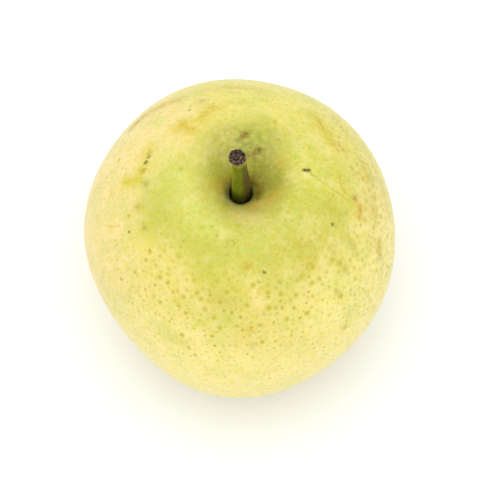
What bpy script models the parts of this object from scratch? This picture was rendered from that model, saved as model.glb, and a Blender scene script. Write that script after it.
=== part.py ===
# A round pear as picked: the fruit, its stalk and the dried eye underneath.
# Metres, +Z up. The fruit stands on the flat rim round its eye, at z = 0.

import math

import bmesh
import bpy
import numpy as np
from mathutils import Matrix, Vector

# The fruit's outline, before its swellings
BODY_RADIUS = 0.04152
WIDEST_HEIGHT = 0.0400
SHOULDER_RISE = 0.0389
SHOULDER_POWER = 2.06
BASE_DROP = 0.0430
BASE_POWER = 2.10
BASE_TAPER = 0.10
REST_SOFTNESS = 0.0008

# The hollow at the top, and the narrow pit at the bottom of it that holds the stalk
HOLLOW_DEPTH = 0.0086
HOLLOW_RADIUS = 0.0095
HOLLOW_WIDENING = 0.10
HOLLOW_WIDENS_TOWARDS = math.radians(35)
LIP_DEPTH = 0.0014
LIP_WIDTH = 0.0009
PIT_RADIUS = 0.00305
PIT_FLOOR = 0.0620
PIT_FILLET = 0.0006
PIT_WALL_STEP = 0.0016

# The basin underneath, and the socket at the top of it that holds the eye
BASIN_RADIUS = 0.0112
BASIN_DEPTH = 0.0060
BASIN_FULLNESS = 0.8
BASIN_STEP = 0.0009
BASIN_PLEATS = 5
PLEAT_DEPTH = 0.0006
SOCKET_RADIUS = 0.0036
SOCKET_TOP = 0.0085

# Swellings round the fruit: how many, how much of the radius, and where one of them points.
# They grow from nothing at the axis.
SWELLINGS = (
    (2, 0.0183, math.radians(107.5)),
    (3, 0.0106, math.radians(32)),
    (4, 0.0073, math.radians(86)),
    (5, 0.008, math.radians(44)),
)
SWELLING_GROWTH = 0.5
SHOULDER_SWELL = 0.0007
SHOULDER_SWELL_TOWARDS = math.radians(150)

# The stalk. It leans slightly left and back, and bends further left towards its thicker cut end.
STALK_FOOT_AT = Vector((0.00016, 0.00012))
STALK_HEIGHT = 0.0288
STALK_FOOT_RADIUS = 0.00246
STALK_WAIST_RADIUS = 0.00174
STALK_END_RADIUS = 0.00208
STALK_NARROWS_AT = 0.0168
STALK_NARROWS_OVER = 0.0024
STALK_SWELLS_OVER = 0.0030
STALK_LEAN = Vector((-0.00024, 0.00013))
STALK_KINK = Vector((-0.0008, 0.0))
KINK_SHARPNESS = 5
STALK_RIBS = 5
STALK_RIB_SHARE = 0.025
STALK_TWIST = math.radians(40)
CUT_DISH = 0.00030
CUT_EDGE = 0.00016
CUT_RIM = 0.00035

# The eye: a short cup with five dry sepals and a tuft of withered stamens
CUP_RADIUS = 0.0032
CUP_LENGTH = 0.0024
CUP_WALL = 0.0008
SEPALS = 5
SEPAL_LENGTH = 0.0052
SEPAL_WIDTH = 0.0027
SEPAL_THICKNESS = 0.0007
SEPAL_CURL = math.radians(62)
SEPAL_FOLD = 0.35
SEPAL_THINS = 0.35
SEPAL_TIP_SHARE = 0.16
SEPAL_FULLNESS = 0.8
SEPAL_STATIONS = 8
SEPAL_SIDES = 8
STAMENS = 7
STAMEN_RADIUS = 0.00032
STAMEN_LENGTH = 0.0030
STAMEN_INNER = 0.0007
STAMEN_OUTER = 0.0013
STAMEN_OPENS = 0.6
STAMEN_THINS = 0.3
STAMEN_SIDES = 6

# Clearance between touching pieces, and how finely the round pieces are divided
GAP = 0.0003
MERGE_WITHIN = 1e-7
SHARP_FROM = math.radians(50)
FRUIT_SIDES = 64
STALK_SIDES = 30
STALK_STATIONS = 26
CUP_SIDES = 20
COARSE_STEP = math.radians(4.5)
FINE_STEP = math.radians(1.75)
FINE_INSIDE_RADIUS = 0.0165

SKIN = ("pear_skin", (0.80, 0.74, 0.26), 0.42)
GREEN_WOOD = ("stalk_green", (0.20, 0.24, 0.03), 0.55)
DRY_SEPAL = ("dry_sepal", (0.09, 0.055, 0.03), 0.85)


def clear_scene():
    for old in list(bpy.data.objects):
        bpy.data.objects.remove(old)


def add_object(name, bm, finish):
    material_name, colour, roughness = finish
    made = bpy.data.materials.new(material_name)
    made.use_nodes = True
    shader = made.node_tree.nodes["Principled BSDF"]
    shader.inputs["Base Color"].default_value = (*colour, 1.0)
    shader.inputs["Roughness"].default_value = roughness
    shader.inputs["Metallic"].default_value = 0.0

    mesh = bpy.data.meshes.new(name)
    bmesh.ops.recalc_face_normals(bm, faces=bm.faces)
    bm.to_mesh(mesh)
    bm.free()
    mesh.shade_smooth()
    mesh.set_sharp_from_angle(angle=SHARP_FROM)
    mesh.materials.append(made)
    thing = bpy.data.objects.new(name, mesh)
    bpy.context.scene.collection.objects.link(thing)
    return thing


def steps_between(start, end, step):
    count = max(1, math.ceil(abs(end - start) / step))
    return [start + (end - start) * i / count for i in range(count + 1)]


def eased(share):
    share = min(1.0, max(0.0, share))
    return share * share * (3 - 2 * share)


# The fruit

def hollow_at(radius, reach):
    return HOLLOW_DEPTH * math.exp(-(radius / reach) ** 2)


def upper_point(angle):
    """Radius and height of the top half, at this angle above the widest level."""
    radius = BODY_RADIUS * math.cos(angle) ** (2 / SHOULDER_POWER)
    height = WIDEST_HEIGHT + SHOULDER_RISE * math.sin(angle) ** (2 / SHOULDER_POWER)
    lip = LIP_DEPTH * math.exp(-(radius - PIT_RADIUS) / LIP_WIDTH)
    return radius, height - hollow_at(radius, HOLLOW_RADIUS) - lip


def lower_point(angle):
    """Radius and height of the lower half, eased onto the flat spot at z = 0."""
    drop = math.sin(angle) ** (2 / BASE_POWER)
    radius = BODY_RADIUS * math.cos(angle) ** (2 / BASE_POWER) * (1 - BASE_TAPER * drop ** 2)
    height = WIDEST_HEIGHT - BASE_DROP * drop
    if height < REST_SOFTNESS:
        height = max(0.0, height + REST_SOFTNESS) ** 2 / (4 * REST_SOFTNESS)
    return radius, height


def basin_point(radius):
    share = radius / BASIN_RADIUS
    return radius, BASIN_DEPTH * (0.5 + 0.5 * math.cos(math.pi * share)) ** BASIN_FULLNESS


def angle_at(radius, power):
    return math.acos((radius / BODY_RADIUS) ** (power / 2))


def fruit_section():
    """Half of the fruit's section, from the middle of the pit's floor round to the middle of the socket."""
    section = [(0.0, PIT_FLOOR), (PIT_RADIUS / 2, PIT_FLOOR)]
    for turn in steps_between(-math.pi / 2, 0, math.pi / 6):
        radius = PIT_RADIUS + PIT_FILLET * (math.cos(turn) - 1)
        section.append((radius, PIT_FLOOR + PIT_FILLET * (1 + math.sin(turn))))
    pit_mouth = angle_at(PIT_RADIUS, SHOULDER_POWER)
    wall_top = upper_point(pit_mouth)[1]
    for height in steps_between(PIT_FLOOR + PIT_FILLET, wall_top, PIT_WALL_STEP)[1:-1]:
        section.append((PIT_RADIUS, height))

    lip_end = angle_at(PIT_RADIUS + 2 * LIP_WIDTH, SHOULDER_POWER)
    hollow_end = angle_at(FINE_INSIDE_RADIUS, SHOULDER_POWER)
    for start, end, step in (
        (pit_mouth, lip_end, FINE_STEP / 3),
        (lip_end, hollow_end, FINE_STEP),
        (hollow_end, 0, COARSE_STEP),
    ):
        section += [upper_point(angle) for angle in steps_between(start, end, step)[:-1]]

    base_edge = angle_at(FINE_INSIDE_RADIUS, BASE_POWER)
    flat_edge = math.asin(((WIDEST_HEIGHT + REST_SOFTNESS) / BASE_DROP) ** (BASE_POWER / 2))
    section += [lower_point(angle) for angle in steps_between(0, base_edge, COARSE_STEP)[:-1]]
    section += [lower_point(angle) for angle in steps_between(base_edge, flat_edge, FINE_STEP)]

    section += [basin_point(radius) for radius in steps_between(BASIN_RADIUS, SOCKET_RADIUS, BASIN_STEP)]
    section += [(SOCKET_RADIUS, SOCKET_TOP), (SOCKET_RADIUS / 2, SOCKET_TOP), (0.0, SOCKET_TOP)]
    return section


def shape_fruit(point):
    """Moves a point of the turned fruit: its swellings, its uneven hollow and the pleats underneath."""
    radius = math.hypot(point.x, point.y)
    if radius < PIT_RADIUS / 2:
        return
    turn = math.atan2(point.y, point.x)
    off_pit = eased((radius - PIT_RADIUS) / (4 * LIP_WIDTH))
    if point.z > WIDEST_HEIGHT:
        reach = HOLLOW_RADIUS * (1 + HOLLOW_WIDENING * math.cos(turn - HOLLOW_WIDENS_TOWARDS))
        point.z += off_pit * (hollow_at(radius, HOLLOW_RADIUS) - hollow_at(radius, reach))
        swell = SHOULDER_SWELL * math.sin(math.pi * min(1.0, radius / BODY_RADIUS)) ** 2
        point.z += swell * math.cos(2 * (turn - SHOULDER_SWELL_TOWARDS))
    across_basin = (radius - SOCKET_RADIUS) / (BASIN_RADIUS - SOCKET_RADIUS)
    if point.z < BASIN_DEPTH and 0 < across_basin < 1:
        point.z += PLEAT_DEPTH * math.sin(math.pi * across_basin) ** 2 * math.cos(BASIN_PLEATS * turn)
    grown = sum(share * math.cos(count * (turn - towards)) for count, share, towards in SWELLINGS)
    grown *= off_pit * (radius / BODY_RADIUS) ** SWELLING_GROWTH
    point.x *= 1 + grown
    point.y *= 1 + grown


def build_fruit():
    bm = bmesh.new()
    ring = [bm.verts.new((radius, 0.0, height)) for radius, height in fruit_section()]
    edges = [bm.edges.new(pair) for pair in zip(ring, ring[1:])]
    bmesh.ops.spin(
        bm, geom=ring + edges, cent=(0, 0, 0), axis=(0, 0, 1), dvec=(0, 0, 0),
        angle=2 * math.pi, steps=FRUIT_SIDES, use_merge=True, use_duplicate=False,
    )
    bmesh.ops.remove_doubles(bm, verts=bm.verts, dist=MERGE_WITHIN)
    for vertex in bm.verts:
        shape_fruit(vertex.co)
    return add_object("pear_body", bm, SKIN)


# The stalk

def add_ring(bm, centre, radius, sides, ribs=0.0, twist=0.0):
    ring = []
    for i in range(sides):
        turn = 2 * math.pi * i / sides
        out = radius * (1 + ribs * math.cos(STALK_RIBS * turn + twist))
        ring.append(bm.verts.new(centre + Vector((out * math.cos(turn), out * math.sin(turn), 0))))
    return ring


def skin_over(bm, rings):
    """Joins rings of points that follow each other, and closes both ends."""
    for lower, upper in zip(rings, rings[1:]):
        for i, point in enumerate(lower):
            following = (i + 1) % len(lower)
            bm.faces.new((point, lower[following], upper[following], upper[i]))
    bm.faces.new(reversed(rings[0]))
    bm.faces.new(rings[-1])


def stalk_radius(height):
    narrowing = 1 / (1 + math.exp((height - STALK_NARROWS_AT) / STALK_NARROWS_OVER))
    radius = STALK_WAIST_RADIUS + (STALK_FOOT_RADIUS - STALK_WAIST_RADIUS) * narrowing
    swelling = eased((height - STALK_HEIGHT + STALK_SWELLS_OVER) / STALK_SWELLS_OVER)
    return radius + (STALK_END_RADIUS - STALK_WAIST_RADIUS) * swelling


def stalk_centre(height):
    share = height / STALK_HEIGHT
    across = STALK_FOOT_AT + STALK_LEAN * share + STALK_KINK * share ** KINK_SHARPNESS
    return Vector((across.x, across.y, PIT_FLOOR + GAP + height))


def build_stalk():
    bm = bmesh.new()
    rings = [add_ring(bm, stalk_centre(0), STALK_FOOT_RADIUS - CUT_EDGE, STALK_SIDES)]
    for height in steps_between(CUT_EDGE, STALK_HEIGHT - CUT_EDGE, STALK_HEIGHT / STALK_STATIONS):
        twist = STALK_TWIST * height / STALK_HEIGHT
        rings.append(add_ring(
            bm, stalk_centre(height), stalk_radius(height), STALK_SIDES, STALK_RIB_SHARE, twist,
        ))
    end = stalk_centre(STALK_HEIGHT)
    dished = end - Vector((0, 0, CUT_DISH))
    rings.append(add_ring(bm, end, STALK_END_RADIUS - CUT_EDGE, STALK_SIDES))
    rings.append(add_ring(bm, dished, STALK_END_RADIUS - CUT_RIM, STALK_SIDES))
    rings.append(add_ring(bm, dished, STALK_END_RADIUS / 3, STALK_SIDES))
    skin_over(bm, rings)
    return add_object("stalk", bm, GREEN_WOOD)


# The eye

def build_cup(top):
    """A cup, closed at the top and open below."""
    bm = bmesh.new()
    inner = CUP_RADIUS - CUP_WALL
    stations = (
        (0.0, inner),
        (0.0, CUP_RADIUS),
        (-CUP_LENGTH, CUP_RADIUS - CUP_WALL / 4),
        (-CUP_LENGTH, inner),
        (-CUP_WALL, inner - CUP_WALL / 2),
    )
    rings = [add_ring(bm, Vector((0, 0, top + drop)), radius, CUP_SIDES) for drop, radius in stations]
    skin_over(bm, rings)
    return bm


def build_sepal(top, turn):
    """A narrow dry blade, hanging from the cup's edge and curling outwards to a point."""
    bm = bmesh.new()
    bend_radius = SEPAL_LENGTH / SEPAL_CURL
    rings = []
    for share in steps_between(0, 1, 1 / SEPAL_STATIONS):
        bend = SEPAL_CURL * share
        middle = Vector((
            CUP_RADIUS - CUP_WALL / 2 + bend_radius * (1 - math.cos(bend)),
            0,
            top - bend_radius * math.sin(bend),
        ))
        outward = Vector((math.cos(bend), 0, math.sin(bend)))
        half_width = SEPAL_WIDTH / 2 * max(SEPAL_TIP_SHARE, math.cos(math.pi / 2 * share) ** SEPAL_FULLNESS)
        half_thick = SEPAL_THICKNESS / 2 * (1 - SEPAL_THINS * share)
        ring = []
        for i in range(SEPAL_SIDES):
            round_edge = 2 * math.pi * i / SEPAL_SIDES
            across = half_width * math.cos(round_edge)
            fold = -SEPAL_FOLD * abs(across)
            lift = half_thick * math.sin(round_edge) + fold
            ring.append(bm.verts.new(middle + Vector((0, across, 0)) + outward * lift))
        rings.append(ring)
    skin_over(bm, rings)
    bmesh.ops.rotate(bm, verts=bm.verts, matrix=Matrix.Rotation(turn, 3, "Z"))
    return bm


def build_stamen(top, turn, spread):
    bm = bmesh.new()
    rings = []
    for share in (0.0, 0.5, 1.0):
        out = spread * (0.5 + share * STAMEN_OPENS)
        centre = Vector((out * math.cos(turn), out * math.sin(turn), top - STAMEN_LENGTH * share))
        rings.append(add_ring(bm, centre, STAMEN_RADIUS * (1 - STAMEN_THINS * share), STAMEN_SIDES))
    skin_over(bm, rings)
    return bm


def build_eye():
    """The cup, sepals and stamens, fused in one union."""
    top = SOCKET_TOP - GAP
    cup = add_object("calyx", build_cup(top), DRY_SEPAL)
    repeats = bpy.data.collections.new("eye_repeats")
    bpy.context.scene.collection.children.link(repeats)

    shapes = []
    for i in range(SEPALS):
        shapes.append(build_sepal(top - CUP_LENGTH + CUP_WALL, 2 * math.pi * i / SEPALS))
    for i in range(STAMENS):
        spread = STAMEN_INNER if i % 2 else STAMEN_OUTER
        shapes.append(build_stamen(top - CUP_WALL / 2, 2 * math.pi * i / STAMENS, spread))
    for i, shape in enumerate(shapes):
        repeat = add_object(f"eye_repeat_{i}", shape, DRY_SEPAL)
        bpy.context.scene.collection.objects.unlink(repeat)
        repeats.objects.link(repeat)

    union = cup.modifiers.new("eye_union", "BOOLEAN")
    union.operation = "UNION"
    union.operand_type = "COLLECTION"
    union.collection = repeats
    union.solver = "EXACT"
    bpy.context.view_layer.update()
    graph = bpy.context.evaluated_depsgraph_get()
    fused = bpy.data.meshes.new_from_object(cup.evaluated_get(graph))
    cup.modifiers.clear()
    cup.data = fused
    for repeat in list(repeats.objects):
        bpy.data.objects.remove(repeat)
    bpy.data.collections.remove(repeats)
    return cup


def centre_over_origin(things):
    """Puts the middle of the whole pear over the origin, without moving it up or down."""
    points = np.array([vertex.co for thing in things for vertex in thing.data.vertices])
    middle = (points.min(axis=0) + points.max(axis=0)) / 2
    for thing in things:
        thing.data.transform(Matrix.Translation((-middle[0], -middle[1], 0)))


def main():
    clear_scene()
    centre_over_origin([build_fruit(), build_stalk(), build_eye()])


main()
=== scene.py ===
import random
from math import acos, asin, ceil, cos, exp, pi, radians, sin, sqrt

import bpy
import numpy as np
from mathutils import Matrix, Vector, noise
from mathutils.bvhtree import BVHTree
from mathutils.kdtree import KDTree


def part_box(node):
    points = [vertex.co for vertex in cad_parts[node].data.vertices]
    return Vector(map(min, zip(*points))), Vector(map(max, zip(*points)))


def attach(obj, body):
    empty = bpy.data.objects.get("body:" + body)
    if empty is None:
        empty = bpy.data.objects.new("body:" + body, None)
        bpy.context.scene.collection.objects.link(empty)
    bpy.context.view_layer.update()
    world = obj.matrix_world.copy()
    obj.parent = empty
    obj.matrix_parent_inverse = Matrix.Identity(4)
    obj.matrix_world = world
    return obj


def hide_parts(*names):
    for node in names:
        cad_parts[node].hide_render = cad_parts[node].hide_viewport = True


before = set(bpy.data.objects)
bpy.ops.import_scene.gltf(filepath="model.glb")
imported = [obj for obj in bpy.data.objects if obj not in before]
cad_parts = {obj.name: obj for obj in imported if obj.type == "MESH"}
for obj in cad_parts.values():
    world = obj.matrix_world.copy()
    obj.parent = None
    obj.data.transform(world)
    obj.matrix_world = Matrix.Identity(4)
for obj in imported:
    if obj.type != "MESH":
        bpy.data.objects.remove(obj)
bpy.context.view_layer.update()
print("frame loaded")

mm = 0.001
up = Vector((0, 0, 1))


# helpers for numbers, meshes and materials

def colour(red, green, blue):  # screen values 0 to 255
    shares = [value / 255 for value in (red, green, blue)]
    return (*[((s + 0.055) / 1.055) ** 2.4 if s > 0.04 else s / 12.92 for s in shares], 1.0)


def eased(share):
    share = np.clip(share, 0, 1)
    return share * share * (3 - 2 * share)


def grows(value, start, over):  # from 0 at the start to 1, and the other way where over is below 0
    return eased((value - start) / over)


def blended(under, over, share):
    return np.array(under) * (1 - share) + np.array(over) * share


def towards(turn):
    return Vector((cos(turn), sin(turn), 0))


def putInScene(name, data):
    thing = bpy.data.objects.new(name, data)
    bpy.context.scene.collection.objects.link(thing)
    return thing


def addObject(name, points, faces, material):
    mesh = bpy.data.meshes.new(name)
    mesh.from_pydata([tuple(p) for p in points], [], [tuple(f) for f in faces])
    mesh.update()
    mesh.shade_smooth()
    mesh.materials.append(material)
    return putInScene(name, mesh)


def tubeFaces(first, rings, sides):  # quads between rings of points that follow one another
    faces = []
    for low in range(first, first + rings * sides, sides):
        for i in range(sides):
            j = (i + 1) % sides
            faces.append((low + i, low + j, low + sides + j, low + sides + i))
    return faces


def paint(mesh, **layers):  # a number, a vector or a colour for each point, or else for each face
    kinds = {1: ("FLOAT", "value"), 3: ("FLOAT_VECTOR", "vector"), 4: ("FLOAT_COLOR", "color")}
    for name, values in layers.items():
        values = np.asarray(values, np.float32)
        kind, slot = kinds[values.size // len(values)]
        domain = "POINT" if len(values) == len(mesh.vertices) else "FACE"
        mesh.attributes.new(name, kind, domain).data.foreach_set(slot, values.ravel())


class Finish:  # one material, with short ways to add its nodes

    def __init__(self, name):
        self.material = bpy.data.materials.new(name)
        self.material.use_nodes = True
        self.tree = self.material.node_tree
        self.shader = self.tree.nodes["Principled BSDF"]
        self.where = self.node("TexCoord").outputs["Object"]

    def node(self, kind, inputs=None, **settings):
        made = self.tree.nodes.new("ShaderNode" + kind)
        for key, value in settings.items():
            setattr(made, key, value)
        self.fill(made, inputs or {})
        return made

    def fill(self, node, inputs):
        for key, value in inputs.items():
            if isinstance(value, bpy.types.NodeSocket):
                self.tree.links.new(value, node.inputs[key])
            else:
                node.inputs[key].default_value = value

    def maths(self, operation, *values, clamp=False):
        return self.node("Math", dict(enumerate(values)), operation=operation, use_clamp=clamp).outputs[0]

    def times(self, first, second):
        return self.maths("MULTIPLY", first, second)

    def vector(self, operation, first, second=(0, 0, 0), scale=1.0):
        return self.node("VectorMath", {0: first, 1: second, 3: scale}, operation=operation).outputs

    def mix(self, amount, under, over, blend="MIX"):
        inputs = {0: amount, 6: under, 7: over}
        return self.node("Mix", inputs, data_type="RGBA", blend_type=blend).outputs[2]

    def step(self, value, low, high, toLow=0.0, toHigh=1.0):  # rises smoothly from low to high
        inputs = {"Value": value, "From Min": low, "From Max": high, "To Min": toLow, "To Max": toHigh}
        return self.node("MapRange", inputs, interpolation_type="SMOOTHSTEP").outputs[0]

    def noise(self, scale, detail, roughness, shift=(0, 0, 0), stretch=(1, 1, 1)):
        moved = self.node("Mapping", {"Vector": self.where, "Location": shift, "Scale": stretch}).outputs[0]
        inputs = {"Vector": moved, "Scale": scale, "Detail": detail, "Roughness": roughness}
        return self.node("TexNoise", inputs).outputs["Fac"]

    def attribute(self, name):
        return self.node("Attribute", attribute_name=name).outputs

    def parts(self, name):  # the three numbers of a vector attribute
        return self.node("SeparateXYZ", {0: self.attribute(name)["Vector"]}).outputs

    def bump(self, height, strength):
        inputs = {"Height": height, "Strength": strength, "Distance": 1.0}
        return self.node("Bump", inputs).outputs["Normal"]


# the fruit's shape, from the same measures as the solid

fruit = {
    "radius": 41.52 * mm,
    "widestAt": 40.0 * mm,
    "rise": 38.9 * mm,
    "risePower": 2.06,
    "drop": 43.0 * mm,
    "dropPower": 2.10,
    "dropTaper": 0.10,
    "restEase": 0.8 * mm,
    "hollowDepth": 8.6 * mm,
    "hollowReach": 9.5 * mm,
    "hollowWidens": 0.10,
    "hollowWidensAt": radians(35),
    "lipDepth": 1.4 * mm,
    "lipWidth": 0.9 * mm,
    "pitRadius": 3.05 * mm,
    "pitFloor": 62.0 * mm,
    "pitFillet": 0.6 * mm,
    "basinRadius": 11.2 * mm,
    "basinDepth": 6.0 * mm,
    "pleats": 5,
    "pleatDepth": 0.6 * mm,
    "socketRadius": 3.6 * mm,
    "socketTop": 8.5 * mm,
    "swellings": ((2, 0.0183, 107.5), (3, 0.0106, 32), (4, 0.0073, 86), (5, 0.008, 44)),
    "shoulderSwell": 0.7 * mm,
    "shoulderSwellAt": radians(150),
    "uneven": (  # gentle dents, too slight for the solid: depth, scale and shift of the noise
        (0.16 * mm, 70, (3.1, 7.7, 1.9)),
        (0.035 * mm, 230, (8.3, 2.2, 5.4)),
    ),
    "drawnIn": 0.06 * mm,  # keeps the dents inside the solid's box
    "sides": 340,
    "spacing": 0.58 * mm,  # between the rings of points, outside and then in the hollow and below
    "spacingInHollow": 0.22 * mm,
    "fineInHollow": 4.5 * mm,
    "spacingOnWall": 0.4 * mm,
    "spacingInSocket": 0.5 * mm,
    "spacingOnFloor": 0.6 * mm,
    "innermost": 0.3 * mm,
}


def upperLine(angle):
    f = fruit
    radius = f["radius"] * np.cos(angle) ** (2 / f["risePower"])
    height = f["widestAt"] + f["rise"] * np.sin(angle) ** (2 / f["risePower"])
    hollow = f["hollowDepth"] * np.exp(-(radius / f["hollowReach"]) ** 2)
    lip = f["lipDepth"] * np.exp(-(radius - f["pitRadius"]) / f["lipWidth"])
    return np.stack([radius, height - hollow - lip], 1)


def lowerLine(angle):
    f = fruit
    drop = np.sin(angle) ** (2 / f["dropPower"])
    radius = f["radius"] * np.cos(angle) ** (2 / f["dropPower"]) * (1 - f["dropTaper"] * drop ** 2)
    height = f["widestAt"] - f["drop"] * drop
    eases = np.maximum(0, height + f["restEase"]) ** 2 / (4 * f["restEase"])
    return np.stack([radius, np.where(height < f["restEase"], eases, height)], 1)


def basinLine(radius):
    arch = 0.5 + 0.5 * np.cos(pi * radius / fruit["basinRadius"])
    return np.stack([radius, fruit["basinDepth"] * arch ** 0.8], 1)


def evenly(line, spacing):
    line = np.array(line)
    walked = np.concatenate([[0], np.cumsum(np.linalg.norm(np.diff(line, axis=0), axis=1))])
    count = max(2, int(ceil(walked[-1] / spacing)) + 1)
    stations = np.linspace(0, walked[-1], count)
    return np.stack([np.interp(stations, walked, line[:, 0]), np.interp(stations, walked, line[:, 1])], 1)


def fruitSection():  # from the pit's floor up, over the shoulder and down to the socket
    f = fruit
    pit, fillet = f["pitRadius"], f["pitFillet"]
    turns = np.linspace(-pi / 2, 0, 7)
    corner = np.stack([pit + fillet * (np.cos(turns) - 1), f["pitFloor"] + fillet * (1 + np.sin(turns))], 1)
    mouth = acos((pit / f["radius"]) ** (f["risePower"] / 2))
    upper = upperLine(np.linspace(mouth, 0, 4000))
    nearPit = int(np.argmax(upper[:, 0] > pit + f["fineInHollow"]))
    flatEdge = asin(((f["widestAt"] + f["restEase"]) / f["drop"]) ** (f["dropPower"] / 2))
    lower = lowerLine(np.linspace(0, flatEdge, 4000))
    basin = basinLine(np.linspace(f["basinRadius"], f["socketRadius"], 400))
    socketEdge = [f["socketRadius"], f["socketTop"]]
    legs = [
        evenly([[f["innermost"], f["pitFloor"]], corner[0]], f["spacingOnFloor"]),
        corner,
        evenly([corner[-1], upper[0]], f["spacingOnWall"]),
        evenly(upper[:nearPit + 1], f["spacingInHollow"]),
        evenly(upper[nearPit:], f["spacing"]),
        evenly(lower, f["spacing"]),
        evenly([lower[-1], [f["basinRadius"], 0]], f["spacing"]),
        evenly(basin, f["spacingOnWall"]),
        evenly([basin[-1], socketEdge], f["spacingInSocket"]),
    ]
    socketRoof = evenly([socketEdge, [f["innermost"], f["socketTop"]]], f["spacingOnFloor"])
    return np.concatenate([leg[:-1] for leg in legs] + [socketRoof])


def shapeFruit(points):
    f = fruit
    radius = np.hypot(points[:, 0], points[:, 1])
    turn = np.arctan2(points[:, 1], points[:, 0])
    height = points[:, 2].copy()
    offPit = grows(radius, f["pitRadius"], 4 * f["lipWidth"])
    upper = height > f["widestAt"]
    reach = f["hollowReach"] * (1 + f["hollowWidens"] * np.cos(turn - f["hollowWidensAt"]))
    level = f["hollowDepth"] * (np.exp(-(radius / f["hollowReach"]) ** 2) - np.exp(-(radius / reach) ** 2))
    swell = f["shoulderSwell"] * np.sin(pi * np.minimum(1, radius / f["radius"])) ** 2
    swell = swell * np.cos(2 * (turn - f["shoulderSwellAt"]))
    lift = np.where(upper & (radius > f["pitRadius"]), offPit * level + swell, 0)
    across = (radius - f["socketRadius"]) / (f["basinRadius"] - f["socketRadius"])
    inBasin = (height < f["basinDepth"]) & (across > 0) & (across < 1)
    pleat = f["pleatDepth"] * np.sin(pi * np.clip(across, 0, 1)) ** 2 * np.cos(f["pleats"] * turn)
    lift = lift + np.where(inBasin, pleat, 0)
    grown = sum(share * np.cos(count * (turn - radians(at))) for count, share, at in f["swellings"])
    grown = 1 + grown * offPit * np.sqrt(radius / f["radius"])
    return np.stack([points[:, 0] * grown, points[:, 1] * grown, height + lift], 1)


def unevenBy(points):  # how far each point moves in or out; nothing moves in the pit or near the table
    radius = np.hypot(points[:, 0], points[:, 1])
    clear = grows(radius, fruit["pitRadius"], 5 * mm) * grows(points[:, 2], 1.5 * mm, 8 * mm)
    clear = clear * (radius > fruit["pitRadius"] + 0.3 * mm)
    dents = sum(
        depth * np.array([noise.noise(Vector(p) * scale + Vector(shift)) for p in points])
        for depth, scale, shift in fruit["uneven"]
    )
    return clear * dents - fruit["drawnIn"] * (points[:, 2] > 6 * mm)


def fruitMesh():
    f = fruit
    section, sides = fruitSection(), f["sides"]
    turns = np.arange(sides) * 2 * pi / sides
    points = shapeFruit(np.stack([
        np.outer(section[:, 0], np.cos(turns)).ravel(),
        np.outer(section[:, 0], np.sin(turns)).ravel(),
        np.repeat(section[:, 1], sides),
    ], 1))
    middle = (points.min(0) + points.max(0)) / 2
    cadLow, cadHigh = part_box("pear_body")
    shift = np.array([(cadLow.x + cadHigh.x) / 2 - middle[0], (cadLow.y + cadHigh.y) / 2 - middle[1], 0])
    outward = points - np.array([0, 0, f["widestAt"]])
    outward /= np.linalg.norm(outward, axis=1)[:, None]
    points = points + outward * unevenBy(points)[:, None]
    points = np.concatenate([points, [[0, 0, f["pitFloor"]], [0, 0, f["socketTop"]]]]) + shift

    rings = len(section)
    faces = [(a, d, c, b) for a, b, c, d in tubeFaces(0, rings - 1, sides)]
    first, last = rings * sides, rings * sides + 1
    for i in range(sides):
        j = (i + 1) % sides
        faces.append((first, i, j))
        faces.append((last, first - sides + j, first - sides + i))
    return points, faces, Vector(shift)


fruitPoints, fruitFaces, fruitAxis = fruitMesh()
fruitTree = BVHTree.FromPolygons([Vector(p) for p in fruitPoints], fruitFaces)
print("fruit shaped:", len(fruitPoints), "points,", len(fruitFaces), "faces")


def roundAxis(points):  # how far points are from the fruit's axis, and their direction from it
    across, deep = points[:, 0] - fruitAxis.x, points[:, 1] - fruitAxis.y
    return np.hypot(across, deep), np.arctan2(deep, across)


def outFrom(points):  # unit vectors from the fruit's middle
    outward = points - np.array(fruitAxis) - np.array([0, 0, fruit["widestAt"]])
    return outward / np.linalg.norm(outward, axis=1)[:, None]


# the camera, at the photograph's angle, and where a pixel of the photograph falls on the skin

camera = {
    "above": radians(69),
    "distance": 430 * mm,  # from the fruit's axis at its widest level
    "pixelsPerMm": 3.76,  # at that distance
    "pictureSide": 480,
    "axisPixel": (240.7, 235.8),  # where that point of the axis falls in the picture
    "sensor": 36,
}
pictureRight = Vector((1, 0, 0))
pictureUp = Vector((0, sin(camera["above"]), cos(camera["above"])))
ahead = Vector((0, cos(camera["above"]), -sin(camera["above"])))


def addCamera():
    c = camera
    middle = c["pictureSide"] / 2
    aim = Vector((fruitAxis.x, fruitAxis.y, fruit["widestAt"]))
    aim -= pictureRight * (c["axisPixel"][0] - middle) / c["pixelsPerMm"] * mm
    aim -= pictureUp * (middle - c["axisPixel"][1]) / c["pixelsPerMm"] * mm
    data = bpy.data.cameras.new("photoCamera")
    data.sensor_width = c["sensor"]
    data.lens = c["sensor"] * c["distance"] * c["pixelsPerMm"] / (c["pictureSide"] * mm)
    data.clip_start = 0.01
    thing = putInScene("photoCamera", data)
    thing.location = aim - ahead * c["distance"]
    thing.rotation_euler = (pi / 2 - c["above"], 0, 0)
    bpy.context.scene.camera = thing
    return thing


def onSkin(pixel):
    c = camera
    middle = c["pictureSide"] / 2
    perPixel = 1 / (c["pixelsPerMm"] / mm * c["distance"])
    way = ahead + pictureRight * (pixel[0] - middle) * perPixel + pictureUp * (middle - pixel[1]) * perPixel
    return fruitTree.ray_cast(photoCamera.location, way.normalized())[0]


photoCamera = addCamera()


# how the skin is coloured: broad zones, soft washes over them with painted shade in the stem hollow and
# round the pit, seeded lenticels, and this fruit's own marks

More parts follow.
